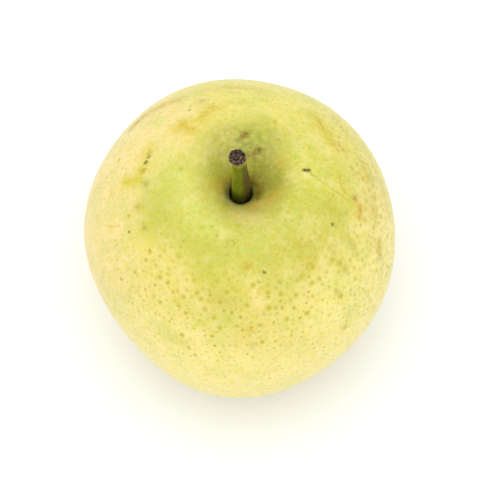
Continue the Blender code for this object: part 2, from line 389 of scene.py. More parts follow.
tones = {
    "paleCream": colour(234, 219, 136),
    "cream": colour(221, 206, 121),
    "peach": colour(231, 210, 138),
    "straw": colour(216, 206, 104),
    "sand": colour(200, 189, 100),
    "leaf": colour(186, 183, 76),
    "lime": colour(177, 182, 65),
    "sapling": colour(199, 198, 87),
    "paleLime": colour(205, 208, 108),
    "mustard": colour(207, 195, 102),
    "gold": colour(200, 188, 48),
    "ochre": colour(200, 162, 44),
    "oliveGold": colour(174, 161, 38),
    "oliveLeaf": colour(158, 164, 42),
    "olive": colour(132, 131, 18),
    # the tone of the painted shade in the stem hollow
    "shadeOlive": colour(102, 106, 4),
    "brownOlive": colour(116, 90, 6),
    "rust": colour(176, 130, 24),
    "bark": colour(98, 82, 12),
    # brown russet deepened as painted shade round the pit
    "pitShadeBrown": colour(82, 68, 12),
    "char": colour(44, 37, 6),
    "moss": colour(128, 122, 20),
}

# broad zones, each under a pixel of the photograph: its reach in mm, its tone, and how mottled it is
zones = {
    "leftRim": ((97, 235), 9, "peach", 0.35),
    "leftCheek": ((116, 232), 12, "peach", 0.5),
    "leftBlush": ((109, 211), 5, "peach", 0.2),
    "leftShoulder": ((133, 140), 13, "peach", 0.4),
    "farShoulder": ((168, 119), 8, "peach", 0.5),
    "farRimLeft": ((205, 92), 8, "straw", 0.6),
    "farRim": ((240, 90), 8, "straw", 0.6),
    "farRimRight": ((290, 100), 9, "straw", 0.5),
    "highRight": ((335, 130), 8, "straw", 0.6),
    "middleLeft": ((175, 200), 10, "leaf", 0.8),
    "limeLeft": ((158, 215), 6, "lime", 0.7),
    "behindStalk": ((240, 116), 8, "straw", 0.9),
    # olive zones in the stem hollow: partly its own colour, partly painted shade
    "hollowBack": ((242, 146), 5.5, "oliveLeaf", 0.4),
    "hollowLeft": ((220, 174), 3.5, "oliveLeaf", 0.4),
    "rightOfStalk": ((272, 183), 4.5, "olive", 0.5),
    "aroundStalk": ((241, 186), 5, "olive", 0.3),
    "beforeStalk": ((243, 222), 6, "sand", 0.5),
    "limeFront": ((222, 245), 9, "lime", 0.6),
    "frontRight": ((296, 235), 10, "leaf", 0.7),
    "rightShoulder": ((325, 170), 9, "sapling", 1.0),
    "rightEdge": ((376, 210), 8, "cream", 0.4),
    "rightRim": ((388, 240), 7, "paleCream", 0.3),
    "rightLow": ((352, 292), 12, "paleCream", 0.5),
    "lowMiddle": ((232, 304), 10, "mustard", 0.9),
    "lowLeft": ((150, 300), 13, "cream", 0.5),
    "bottom": ((240, 375), 14, "paleCream", 0.3),
    "bottomLeft": ((165, 350), 12, "paleCream", 0.3),
    "bottomRight": ((312, 364), 12, "paleCream", 0.3),
}
farSide = {  # and the sides that the photograph doesn't show
    "angles": range(20, 180, 40),
    "out": 38 * mm,
    "height": 32 * mm,
    "zone": (14, "straw", 0.5),
}
underneath = {
    "height": 4 * mm,
    "zone": (22, "straw", 0.4),
}
russetAndPitShade = {  # round the pit, brown russet deepened by painted shade of the pit, and russet round the eye underneath, with distances from the axis in mm
    "pit": {"inside": 3.1, "onWall": 0.2, "from": 2.9, "fades": 2.0, "strength": 0.66, "tone": "pitShadeBrown"},
    "eye": {"inside": 3.6, "onWall": 0.8, "from": 3.4, "fades": 3.4, "strength": 0.5, "tone": "brownOlive"},
}

# soft patches over the zones: the width in mm over which each fades, its tone and strength, and its pixels
washes = {
    # painted shade in the stem hollow: olive washes that darken its walls behind, beside and in front of the
    # stalk
    "hollowShade": (6.0, "shadeOlive", 0.34, (240, 150), (241, 188)),
    "shadeBack": (4.5, "shadeOlive", 0.3, (218, 146), (232, 141), (258, 140), (272, 146)),
    "shadeBackRight": (3.5, "shadeOlive", 0.12, (262, 126), (280, 134)),
    "shadeLeft": (2.3, "shadeOlive", 0.24, (223, 172), (222, 190), (228, 204)),
    "shadeRight": (2.5, "shadeOlive", 0.27, (256, 150), (258, 172), (260, 196), (254, 206)),
    "shadeFront": (3.2, "shadeOlive", 0.24, (230, 212), (264, 212)),
    # painted shade close beside the pit, left and right
    "darkLeftOfPit": (1.3, "pitShadeBrown", 0.42, (226, 184), (228, 197)),
    "darkRightOfPit": (1.4, "pitShadeBrown", 0.5, (256, 182), (257, 197)),
    "dashGlow": (2.0, "gold", 0.75, (150, 149), (146, 160), (141, 173)),
    "smearLeft": (1.7, "gold", 0.85, (124, 181), (137, 183)),
    "dotLeft": (1.1, "olive", 0.6, (146, 184)),
    "smearLower": (1.2, "oliveGold", 0.6, (137, 207), (141, 205)),
    "patchLeft": (2.4, "gold", 0.22, (138, 226), (156, 224)),
    "dotLower": (0.9, "olive", 0.8, (144, 228)),
    "limePatchLeft": (2.4, "lime", 0.5, (158, 216), (160, 224), (154, 232)),
    "patchLowerLeft": (1.8, "gold", 0.4, (134, 236), (150, 238)),
    "squiggleGlow": (2.2, "gold", 0.55, (216, 108), (208, 111), (200, 118)),
    "squiggleEnd": (3.0, "gold", 0.7, (192, 129), (180, 127)),
    "squiggleEndWarm": (1.8, "ochre", 0.4, (190, 129), (182, 126)),
    "squiggleWarm": (1.2, "ochre", 0.4, (211, 109), (203, 116)),
    "rimStreak": (1.6, "ochre", 0.7, (133, 126), (146, 114), (164, 105), (180, 99)),
    "rimTip": (1.6, "rust", 0.5, (132, 128), (139, 121)),
    "farRimGold": (1.6, "ochre", 0.3, (206, 90), (240, 87), (262, 90)),
    "rightRimGold": (1.6, "ochre", 0.22, (371, 160), (383, 190), (389, 214)),
    "farPatch": (1.6, "olive", 0.35, (202, 101)),
    "behindLeft": (2.4, "oliveGold", 0.24, (216, 130), (226, 142)),
    "limeLeftOfHollow": (3.0, "lime", 0.4, (203, 185)),
    "paleBehindLeft": (3.0, "cream", 0.2, (202, 148)),
    "mustardLowRight": (4.5, "mustard", 0.28, (284, 306), (300, 314)),
    "limeRightLow": (6.0, "paleLime", 0.42, (345, 285), (355, 300)),
    "behindDot": (1.3, "brownOlive", 0.45, (244, 135)),
    "besideStalk": (1.2, "brownOlive", 0.55, (251, 156), (258, 151)),
    "rustLeftOfPit": (1.8, "ochre", 0.36, (217, 190), (224, 180)),
    "rustSpeckLeft": (1.6, "ochre", 0.3, (204, 186), (212, 184)),
    # painted shade right of the pit, and further out on the hollow's right wall
    "shadeRightOfPit": (1.9, "brownOlive", 0.55, (257, 180), (260, 194)),
    "shadeRightFurther": (3.0, "olive", 0.3, (266, 168), (272, 184)),
    "tanFrontOfPit": (1.8, "ochre", 0.42, (252, 207), (270, 200), (279, 194)),
    "tanFrontFurther": (2.0, "peach", 0.45, (236, 214), (262, 219)),
    "blotchRightOne": (1.8, "oliveGold", 0.4, (369, 177), (371, 181)),
    "blotchRightTwo": (1.3, "oliveGold", 0.35, (352, 168), (353, 173)),
    "blotchRightThree": (1.5, "ochre", 0.35, (362, 162), (365, 168)),
    "blotchRightFour": (2.0, "ochre", 0.2, (340, 126), (350, 138)),
    "blotchRightFive": (2.0, "oliveGold", 0.35, (331, 206), (336, 214)),
    "blotchRightSix": (1.6, "oliveGold", 0.3, (371, 202), (373, 214)),
    "goldRight": (1.5, "ochre", 0.32, (281, 160)),
    "goldRightHigh": (1.6, "gold", 0.25, (301, 136)),
    "underScar": (1.0, "peach", 0.6, (306, 175)),
    "arcHigh": (2.3, "gold", 0.85, (317, 118), (325, 131), (335, 146), (343, 151)),
    "arcRust": (1.2, "ochre", 0.42, (317, 119), (325, 129)),
    "arcRustLow": (1.2, "ochre", 0.42, (335, 145), (343, 151)),
    "arcLow": (2.2, "gold", 0.5, (341, 176), (344, 192), (354, 206)),
    "rustSpotHigh": (1.1, "rust", 0.6, (355, 198)),
    "rustSpotLow": (1.2, "ochre", 0.75, (360, 207), (360, 217)),
    "brownSpotEdge": (1.1, "ochre", 0.5, (362, 178), (369, 179)),
    "brownSpotsRight": (1.2, "ochre", 0.3, (372, 192), (376, 214)),
    "limeRight": (3.0, "lime", 0.45, (328, 212), (340, 218)),
    "paleLeft": (3.0, "paleLime", 0.38, (183, 208), (212, 212)),
    "paleFarLeft": (2.2, "paleLime", 0.5, (162, 122)),
    "limeMiddle": (4.0, "lime", 0.45, (190, 245), (218, 262)),
    "creamMiddle": (3.0, "cream", 0.35, (165, 248), (188, 262)),
    "strawLeft": (4.5, "straw", 0.5, (142, 248), (156, 272)),
    "paleFront": (2.8, "paleLime", 0.4, (194, 226), (220, 229)),
    "creamFrontRight": (2.4, "cream", 0.5, (288, 268), (296, 274)),
    "mustardLow": (5.5, "mustard", 0.45, (240, 338), (300, 344)),
    "limeFrontRight": (3.0, "lime", 0.45, (262, 252), (282, 246)),
    "limeFrontMiddle": (4.0, "lime", 0.35, (264, 226), (292, 222)),
    "goldMiddle": (4.0, "gold", 0.36, (208, 272), (228, 280), (240, 292)),
    "limeLowMiddle": (3.2, "lime", 0.35, (205, 268), (224, 286)),
    "creamLow": (1.8, "peach", 0.5, (178, 272), (186, 282)),
    "creamLower": (1.8, "peach", 0.35, (200, 306), (238, 308)),
    "creamLowMiddle": (1.8, "peach", 0.45, (254, 288), (258, 300)),
    "limeLowLeft": (2.0, "lime", 0.35, (170, 336), (182, 342)),
    "paleMiddleLeft": (4.0, "paleLime", 0.45, (166, 158), (180, 182)),
    "paleLeftOfHollow": (3.0, "paleLime", 0.25, (190, 178), (192, 194)),
    "paleRightHigh": (3.2, "cream", 0.5, (340, 152), (352, 168)),
    "goldMiddleLow": (2.2, "oliveGold", 0.4, (216, 300), (232, 302)),
    "goldLowLeft": (2.2, "gold", 0.35, (176, 302), (184, 308)),
    "amberFront": (1.4, "ochre", 0.4, (244, 266), (249, 267)),
    "amberLow": (1.1, "ochre", 0.5, (251, 329)),
    "patchAtRingOne": (1.4, "ochre", 0.25, (275, 250)),
    "patchAtRingTwo": (1.9, "oliveGold", 0.35, (303, 243)),
    "patchAtRingThree": (1.3, "ochre", 0.4, (310, 266)),
    "oliveFront": (1.3, "oliveGold", 0.5, (301, 277)),
    "oliveRight": (1.7, "oliveGold", 0.4, (334, 262), (344, 268)),
    "oliveRightLow": (1.4, "oliveGold", 0.45, (338, 293)),
    "oliveLowRight": (1.3, "oliveGold", 0.4, (345, 327)),
    "greenLow": (1.3, "oliveGold", 0.4, (253, 345)),
    "creamRightFront": (2.6, "cream", 0.6, (303, 294), (312, 300)),
    "streakRight": (1.0, "oliveGold", 0.7, (379, 240), (380, 256)),
    "streakRightThin": (0.7, "ochre", 0.4, (376, 243), (377, 252)),
    "oliveClusterRight": (1.3, "oliveGold", 0.35, (347, 236), (353, 250)),
}


def distanceTo(points, start, end):
    a, b = np.array(start), np.array(end)
    along = np.clip(((points - a) @ (b - a)) / max(1e-12, (b - a) @ (b - a)), 0, 1)
    return np.linalg.norm(points - a - along[:, None] * (b - a), axis=1)


def runOnSkin(pixels):
    run = [onSkin(pixel) for pixel in pixels]
    return list(zip(run, run[1:])) or [(run[0], run[0])]


def skinTones(points):
    total, weight = np.zeros((len(points), 5)), np.full(len(points), 1e-9)
    spots = [(onSkin(pixel), *zone) for pixel, *zone in zones.values()]
    for degrees in farSide["angles"]:
        side = towards(radians(degrees)) * farSide["out"]
        spots.append((fruitAxis + side + up * farSide["height"], *farSide["zone"]))
    spots.append((fruitAxis + up * underneath["height"], *underneath["zone"]))
    for place, reach, tone, mottle in spots:
        share = np.exp(-(np.linalg.norm(points - np.array(place), axis=1) / (reach * mm)) ** 2)
        total += share[:, None] * np.array((*tones[tone], mottle))
        weight += share
    total /= weight[:, None]
    shown, mottle = total[:, :4], total[:, 4]
    fromAxis = roundAxis(points)[0] / mm
    onTop = points[:, 2] > fruit["widestAt"]
    # the ring round the pit is russet with painted shade; the ring round the eye is russet
    for darkRing, here in ((russetAndPitShade["pit"], onTop), (russetAndPitShade["eye"], ~onTop)):
        shade = darkRing["strength"] * (1 - grows(fromAxis, darkRing["from"], darkRing["fades"]))
        shade = shade * np.where(fromAxis < darkRing["inside"], darkRing["onWall"], 1) * here
        shown = blended(shown, tones[darkRing["tone"]], shade[:, None])
    return shown, mottle


def washOver(points):  # every wash laid over the last one, with how much it covers in the alpha
    shown, cover = np.zeros((len(points), 3)), np.zeros(len(points))
    for width, tone, strength, *pixels in washes.values():
        gap = np.min([distanceTo(points, start, end) for start, end in runOnSkin(pixels)], axis=0)
        share = strength * np.exp(-(gap / (width * mm)) ** 2)
        shown = blended(shown, tones[tone][:3], share[:, None])
        cover = cover * (1 - share) + share
    return np.column_stack([shown / np.maximum(cover, 1e-6)[:, None], cover])


lenticels = {
    "seed": 11,
    "tries": 80000,
    "spacing": 2.35 * mm,
    "spacingAtTop": 3.2 * mm,
    "clearOfPit": 6 * mm,
    "clearOfTable": 0.5 * mm,
    "core": 0.20 * mm,
    "halo": 0.60 * mm,
    "boldCore": 0.34 * mm,
    "boldHalo": 1.15 * mm,
    "coreTone": colour(150, 136, 30),
    "haloTone": colour(186, 174, 48),
    "rightCoreTone": colour(162, 134, 38),
    "topCoreTone": colour(136, 132, 34),
    "sides": {  # degrees each faces, the cosine where it starts and over which it grows, and the same in mm
        "right": (8, 0.45, 0.45, 20, 12),
        "front": (280, 0.1, 0.6, 42, -15),
        "low": (270, 0.6, 0.3, 25, 8),
        "left": (180, 0.6, 0.3, 25, 8),
    },
    "topReach": (26 * mm, -17 * mm),
    "closest": 0.42,  # share of the spacing
    "loosest": 1.58,
    "bold": (  # the large ones that stand out in the photograph
        (150, 251), (146, 260), (135, 272), (121, 279), (160, 277), (168, 283), (173, 292), (184, 297),
        (179, 306), (186, 313), (197, 293), (201, 299), (227, 292), (220, 302), (214, 318), (220, 328),
        (237, 326), (182, 335), (189, 348), (195, 355), (280, 282), (302, 276), (319, 279), (268, 293),
        (268, 297), (281, 294), (296, 295), (269, 308), (276, 308), (294, 308), (307, 313), (260, 325),
        (287, 319), (340, 263), (332, 260), (345, 327), (352, 168), (343, 150), (357, 164), (363, 179),
        (369, 190), (375, 198), (373, 210), (381, 216), (181, 169), (275, 122), (129, 216), (119, 160),
        (253, 285), (262, 342), (336, 290), (341, 296), (312, 283), (247, 305), (205, 309), (160, 302),
    ),
}


def randomOnSkin(points, faces, draw):
    quads = np.array([f for f in faces if len(f) == 4])
    corners = points[quads]
    sides = np.cross(corners[:, 2] - corners[:, 0], corners[:, 3] - corners[:, 1])
    area = np.linalg.norm(sides, axis=1)
    area[corners[:, 0, 2] < lenticels["clearOfTable"]] = 0
    picked = corners[draw.choice(len(quads), lenticels["tries"], p=area / area.sum())]
    share = draw.rand(lenticels["tries"], 2, 1)
    low = blended(picked[:, 0], picked[:, 1], share[:, 0])
    high = blended(picked[:, 3], picked[:, 2], share[:, 0])
    return blended(low, high, share[:, 1])


def scatterLenticels(points, faces):
    s = lenticels
    draw = np.random.RandomState(s["seed"])
    bold = np.array([onSkin(pixel) for pixel in s["bold"]])
    places = np.concatenate([bold, randomOnSkin(points, faces, draw)])
    fromAxis = roundAxis(places)[0]
    onTop = grows(fromAxis, *s["topReach"]) * (places[:, 2] > fruit["widestAt"])
    spacing = s["spacing"] + (s["spacingAtTop"] - s["spacing"]) * onTop
    spacing = spacing * (s["closest"] + (s["loosest"] - s["closest"]) * draw.rand(len(places)))
    keep, cells, cell = [], {}, 1.5 * s["spacingAtTop"]
    steps = [(dx, dy, dz) for dx in (-1, 0, 1) for dy in (-1, 0, 1) for dz in (-1, 0, 1)]
    for i, place in enumerate(places):
        if fromAxis[i] < s["clearOfPit"]:
            continue
        x, y, z = (place // cell).astype(int)
        near = [j for dx, dy, dz in steps for j in cells.get((x + dx, y + dy, z + dz), ())]
        if i < len(bold) or not near or np.sum((places[near] - place) ** 2, axis=1).min() > spacing[i] ** 2:
            keep.append(i)
            cells.setdefault((x, y, z), []).append(i)
    return places[keep], onTop[keep], np.array(keep) < len(bold), draw


def lenticelLook(places, onTop, isBold, draw):
    s = lenticels
    fromAxis, turn = roundAxis(places)
    right, front, low, left = [
        grows(np.cos(turn - radians(at)), start, over) * grows(fromAxis / mm, near, width)
        for at, start, over, near, width in s["sides"].values()
    ]
    hidden = grows(outFrom(places) @ np.array(ahead), 0, 0.3)  # where the photograph doesn't reach
    coreSize, haloSize, coreDepth, haloDepth = draw.rand(len(places), 4).T

    core = s["core"] * (0.6 + coreSize ** 2) * (1 + 0.45 * front + 0.7 * right) * (1 + 0.35 * hidden)
    core = np.where(isBold, s["boldCore"] * (0.8 + 0.4 * coreSize), core)
    halo = s["halo"] * (0.6 + 0.9 * haloSize) * (1 + 0.5 * front + 0.9 * right) * (1 + 0.45 * hidden)
    halo = np.where(isBold, s["boldHalo"] * (0.8 + 0.4 * haloSize), halo)
    strength = (0.06 + 0.36 * coreDepth ** 2) * (1 - 0.35 * onTop) * (1 + 0.1 * right)
    strength = strength * (1 + 0.9 * low) * (1 + 0.4 * left) * (1 + 0.9 * hidden)
    strength = np.where(isBold, 0.17 + 0.22 * coreDepth, strength)
    haloStrength = (0.08 + 0.42 * haloDepth ** 1.3) * (0.4 + 0.95 * front + 0.8 * right * (1 - front))
    haloStrength = np.where(isBold, 0.62 + 0.3 * haloDepth, haloStrength * (1 + 0.9 * hidden))
    tone = blended(s["coreTone"], s["rightCoreTone"], right[:, None])
    tone = blended(tone, s["topCoreTone"], onTop[:, None])
    tone[:, 3] = strength
    return np.stack([core, halo, haloStrength], 1), tone


# crisp marks: width in mm, tone, strength, how patchy, and the pixels that each runs through,
# or for a ring the pixel at its middle and its radius in mm
marks = {
    "darkScar": (0.55, "char", 0.95, 0.3, (304.5, 170), (308.5, 170.3)),
    "scratch": (0.13, "moss", 0.6, 0.5, (310, 173), (322, 182), (335, 191), (346, 199)),
    "dashHigh": (0.45, "oliveGold", 0.6, 0.5, (149.5, 151), (147.5, 156)),
    "dashDot": (0.50, "brownOlive", 0.7, 0.2, (148.8, 156), (148.2, 157.5)),
    "dashMiddle": (0.50, "bark", 0.85, 0.2, (146.4, 161.8), (145.4, 162.8)),
    "dashLow": (0.6, "rust", 0.7, 0.4, (144, 170.5), (142, 171.8)),
    "squiggleOne": (0.40, "oliveGold", 0.45, 0.8, (221, 109), (216, 106.5), (211, 105.5), (209, 108)),
    "squiggleTwo": (0.50, "ochre", 0.6, 0.7, (213, 110), (210, 113), (205, 114)),
    "squiggleThree": (0.35, "oliveGold", 0.6, 0.5, (207, 111.5), (202, 113.5)),
    "squiggleFour": (0.35, "oliveGold", 0.55, 0.6, (206, 116), (200, 116.5)),
    "squiggleFive": (0.50, "gold", 0.6, 0.6, (201, 119), (197, 120)),
    "squiggleSix": (0.45, "oliveGold", 0.4, 0.8, (194, 128), (187, 130)),
    "squiggleSeven": (0.45, "oliveGold", 0.3, 0.8, (184, 121), (177, 121)),
    "arcStrokeHigh": (0.50, "oliveGold", 0.4, 0.8, (319, 121), (323, 129)),
    "arcStrokeLow": (0.50, "oliveGold", 0.5, 0.7, (329, 140), (338, 150)),
    "arcStrokeSide": (0.40, "oliveGold", 0.45, 0.8, (339, 172), (340, 183), (345, 192)),
    "dotFarLeft": (0.35, "bark", 0.6, 0.1, (189, 110), (189.5, 110)),
    "dotBehind": (0.55, "brownOlive", 0.8, 0.3, (243.5, 136.5), (245.5, 134)),
    "spotBesideStalk": (0.7, "brownOlive", 0.65, 0.5, (255.5, 153), (258.5, 151)),
    "rustSpotHigh": (0.3, "brownOlive", 0.4, 0.6, (355, 198.5, 0.5)),
    "rustSpotMiddle": (0.55, "rust", 0.4, 0.5, (360, 208), (360.3, 211)),
    "rustSpotLow": (0.45, "rust", 0.55, 0.5, (359, 217), (359, 218)),
    "streakRight": (0.40, "ochre", 0.5, 0.6, (378, 243), (380.5, 256)),
    "greenDotRight": (0.5, "moss", 0.95, 0.1, (332, 224.5), (332.4, 224.7)),
    "blackDotFront": (0.42, "bark", 0.8, 0.1, (264, 272.3), (264.3, 272.5)),
    "darkDotLeft": (0.35, "bark", 0.8, 0.1, (129, 232), (129.3, 232.2)),
    "amberSpotFront": (0.7, "rust", 0.35, 0.6, (247, 266.5), (249.5, 266.5)),
    "farRimStroke": (0.5, "ochre", 0.45, 0.8, (222, 86), (234, 88), (244, 88)),
    "scratchLeft": (0.25, "ochre", 0.5, 0.6, (105, 225), (112, 226.5), (119, 226)),
    "ringOne": (0.24, "oliveGold", 0.5, 0.6, (275, 250, 1.15)),
    "ringTwo": (0.28, "oliveGold", 0.45, 0.7, (302, 243.5, 0.95)),
    "ringThree": (0.28, "oliveGold", 0.55, 0.6, (309.5, 266.5, 0.85)),
    "ringFour": (0.22, "oliveGold", 0.4, 0.6, (334, 243, 0.75)),
    "ringLeft": (0.22, "olive", 0.4, 0.6, (231, 243, 0.8)),
}


def ringRun(x, y, radius):
    middle = onSkin((x, y))
    outward = (middle - fruitAxis - up * fruit["widestAt"]).normalized()
    side = outward.orthogonal().normalized()
    other = outward.cross(side)
    turns = [2 * pi * i / 10 for i in range(11)]
    run = [middle + radius * mm * (side * cos(t) + other * sin(t)) for t in turns]
    return zip(run, run[1:])


def nearestMark(places):  # the ends, width, patchiness and tone of the stretch of a mark nearest each place
    rows = []
    for width, tone, strength, patchy, *pixels in marks.values():
        run = ringRun(*pixels[0]) if len(pixels[0]) == 3 else runOnSkin(pixels)
        size, shown = (width * mm, patchy, 0), (*tones[tone][:3], strength)
        rows += [(start, end, size, shown) for start, end in run]
    best, index = np.full(len(places), 1.0), np.zeros(len(places), int)
    for i, (start, end, size, _) in enumerate(rows):
        gap = distanceTo(places, start, end) - size[0]
        closer = gap < best
        best[closer], index[closer] = gap[closer], i
    return [np.array([tuple(value) for value in column])[index] for column in zip(*rows)]


def paintFruit(mesh, points, faces):
    tone, mottle = skinTones(points)
    paint(mesh, skinTone=tone, mottle=mottle, washTone=washOver(points))
    print("skin toned")
    places, *kinds = scatterLenticels(points, faces)
    shape, tone = lenticelLook(places, *kinds)
    finder = KDTree(len(places))
    for i, place in enumerate(places):
        finder.insert(place, i)
    finder.balance()
    middles = np.array([points[list(face)].mean(0) for face in faces])
    nearest = [finder.find(middle)[1] for middle in middles]
    paint(mesh, spotAt=places[nearest], spotShape=shape[nearest], spotTone=tone[nearest])
    print("lenticels scattered:", len(places))
    start, end, shape, tone = nearestMark(middles)
    paint(mesh, markStart=start, markEnd=end, markShape=shape, markTone=tone)
    print("marks placed:", len(marks))


skin = {
    "roughness": 0.40,
    "duller": 0.35,  # added to the roughness of the corky spots and marks
    "gloss": 0.30,
    "bloom": 0.07,
    "bloomTone": (1.0, 0.96, 0.78, 1.0),
    "patches": {  # scale, roughness and shift of the noise, its two ends, the most it covers, and its tone
        "lime": (130, 0.55, (0, 0, 0), 0.46, 0.62, 0.60, colour(178, 190, 70)),
        "cream": (170, 0.55, (0.3, 0.1, 0.2), 0.47, 0.64, 0.52, colour(230, 214, 142)),
        "gold": (330, 0.60, (0.7, 0.5, 0.1), 0.50, 0.70, 0.36, colour(200, 180, 54)),
        "creamDapple": (640, 0.65, (0.1, 0.3, 0.8), 0.50, 0.66, 0.26, colour(230, 214, 142)),
        "limeDapple": (640, 0.65, (0.1, 0.3, 0.8), 0.50, 0.34, 0.30, colour(178, 190, 70)),
    },
    "grains": {  # the noise's two ends, the most it covers, and its tone
        "warm": (0.50, 0.68, 0.30, colour(226, 194, 84)),
        "green": (0.50, 0.32, 0.24, colour(160, 176, 56)),
    },
    "creamier": (1.01, 1.01, 1.13, 1.0),
    "yellower": (1.0, 0.985, 0.84, 1.0),
    "poreHeight": 0.012 * mm,
    "lenticelHeight": 0.03 * mm,
}


def lenticelShares(look):  # a soft halo, and a small darker core
    size = look.parts("spotShape")
    away = look.vector("DISTANCE", look.where, look.attribute("spotAt")["Vector"])["Value"]
    away = look.times(away, look.maths("MULTIPLY_ADD", look.noise(2000, 3, 0.65), 1.5, 0.25))
    halo = look.step(look.maths("DIVIDE", away, size[1]), 1.1, 0.1)
    core = look.step(look.maths("DIVIDE", away, size[0]), 1.6, 0.25)
    return look.times(halo, size[2]), look.times(core, look.attribute("spotTone")["Alpha"])


def markShare(look, broken):  # how much of the nearest mark shows, by the distance to its stretch
    start, end = look.attribute("markStart")["Vector"], look.attribute("markEnd")["Vector"]
    run = look.vector("SUBTRACT", end, start)["Vector"]
    fromStart = look.vector("SUBTRACT", look.where, start)["Vector"]
    dot = look.vector("DOT_PRODUCT", fromStart, run)["Value"]
    length = look.maths("MAXIMUM", look.vector("DOT_PRODUCT", run, run)["Value"], 1e-12)
    along = look.maths("DIVIDE", dot, length, clamp=True)
    nearest = look.vector("SCALE", run, scale=along)["Vector"]
    gap = look.vector("DISTANCE", fromStart, nearest)["Value"]
    size = look.parts("markShape")
    wide = look.times(size[0], look.maths("MULTIPLY_ADD", broken, 2.2, -0.1))
    share = look.step(look.maths("DIVIDE", gap, wide), 1.7, 0.3)
    filled = look.step(look.noise(1500, 3, 0.7), 0.60, 0.42)
    holes = look.times(size[1], look.maths("SUBTRACT", 1.0, filled))
    share = look.times(share, look.maths("SUBTRACT", 1.0, holes))
    return look.times(share, look.attribute("markTone")["Alpha"])


def skinMaterial():
    look = Finish("pearSkin")
    base = look.attribute("skinTone")["Color"]
    mottle = look.attribute("mottle")["Fac"]
    for scale, roughness, shift, low, high, most, tone in skin["patches"].values():
        share = look.step(look.noise(scale, 3, roughness, shift), low, high, 0.0, most)
        base = look.mix(look.times(share, mottle), base, tone)

    wash = look.attribute("washTone")
    broken = look.noise(900, 4, 0.65)
    uneven = look.step(look.noise(620, 4, 0.65, (0.2, 0.9, 0.4)), 0.34, 0.64, 0.55, 1.25)
    base = look.mix(look.maths("MULTIPLY", wash["Alpha"], uneven, clamp=True), base, wash["Color"])

    fine = look.noise(1500, 3, 0.65)
    grainShare = look.maths("MULTIPLY_ADD", mottle, 0.75, 0.25)
    for low, high, most, tone in skin["grains"].values():
        base = look.mix(look.times(look.step(fine, low, high, 0.0, most), grainShare), base, tone)
    grain = look.step(look.noise(1500, 4, 0.7, (0.5, 0.2, 0.6)), 0.30, 0.70, 0.94, 1.055)
    base = look.mix(1.0, base, grain, "MULTIPLY")
    yellow = look.step(look.noise(520, 3, 0.6, (0.6, 0.7, 0.3)), 0.38, 0.62)
    base = look.mix(1.0, base, look.mix(yellow, skin["creamier"], skin["yellower"]), "MULTIPLY")

    halo, core = lenticelShares(look)
    mark = markShare(look, broken)
    base = look.mix(halo, base, lenticels["haloTone"])
    base = look.mix(mark, base, look.attribute("markTone")["Color"])
    base = look.mix(core, base, look.attribute("spotTone")["Color"])

    corky = look.maths("MAXIMUM", core, mark)
    roughness = look.maths("MULTIPLY_ADD", corky, skin["duller"], skin["roughness"])
    height = look.times(fine, skin["poreHeight"])
    height = look.maths("MULTIPLY_ADD", core, skin["lenticelHeight"], height)
    look.fill(look.shader, {
        "Base Color": base,
        "Roughness": look.maths("ADD", roughness, look.step(broken, 0.3, 0.7, -0.04, 0.05)),
        "Specular IOR Level": skin["gloss"],
        "Sheen Weight": skin["bloom"],
        "Sheen Tint": skin["bloomTone"],
        "Normal": look.bump(height, 1.0),
    })
    return look.material


pear = addObject("fruitSkin", fruitPoints, fruitFaces, skinMaterial())
paintFruit(pear.data, fruitPoints, fruitFaces)
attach(pear, "root")
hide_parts("pear_body")
print("fruit finished")


# the stalk: ribbed green wood with painted light down its left side, brown down its right side, painted
# shade at its foot, and a dry cut end

stalk = {
    "footAt": (0.16 * mm, 0.12 * mm),
    "gap": 0.3 * mm,
    "height": 28.8 * mm,
    "foot": 2.46 * mm,
    "waist": 1.74 * mm,
    "end": 2.08 * mm,
    "narrowsAt": 16.8 * mm,
    "narrowsOver": 2.4 * mm,
    "swellsOver": 3.0 * mm,
    "lean": (-0.24 * mm, 0.13 * mm),
    "kink": -0.8 * mm,
    "kinkSharpness": 5,
    "ribs": 5,
    "ribShare": 0.025,
    "twist": radians(40),
    "wrinkle": 0.045 * mm,
    "cutEdge": 0.16 * mm,
    "cutDish": 0.30 * mm,
    "cutRoughness": 0.24 * mm,
    "darkFrom": 0.987,  # share of the height where the dark cut wood begins
    "sides": 96,
    "rings": 160,
    "cutRings": 14,
    "gloss": 0.15,
    "streakHeight": 0.05 * mm,
    "speckHeight": 0.10 * mm,
    "green": colour(104, 116, 8),
    "litSideGreen": colour(140, 140, 32),
    "brown": colour(86, 66, 34),
    "footShade": colour(30, 28, 10),
    "endTone": colour(152, 144, 48),
    "darkStreak": colour(70, 66, 14),
    "paleStreak": colour(158, 158, 56),
    "blotch": colour(104, 84, 30),
    "cutDark": colour(12, 9, 8),
    "cutBrown": colour(70, 54, 46),
    "cutGrey": colour(146, 134, 126),
    "cutPink": colour(168, 124, 138),
    "cutGold": colour(186, 146, 70),
}


def stalkRadius(height):
    s = stalk
    narrowing = 1 / (1 + exp((height - s["narrowsAt"]) / s["narrowsOver"]))
    swelling = float(grows(height, s["height"] - s["swellsOver"], s["swellsOver"]))
    return s["waist"] + (s["foot"] - s["waist"]) * narrowing + (s["end"] - s["waist"]) * swelling


def stalkMiddle(height):
    s = stalk
    share = height / s["height"]
    across = s["footAt"][0] + s["lean"][0] * share + s["kink"] * share ** s["kinkSharpness"]
    deep = s["footAt"][1] + s["lean"][1] * share
    return fruitAxis + Vector((across, deep, fruit["pitFloor"] + s["gap"] + height))


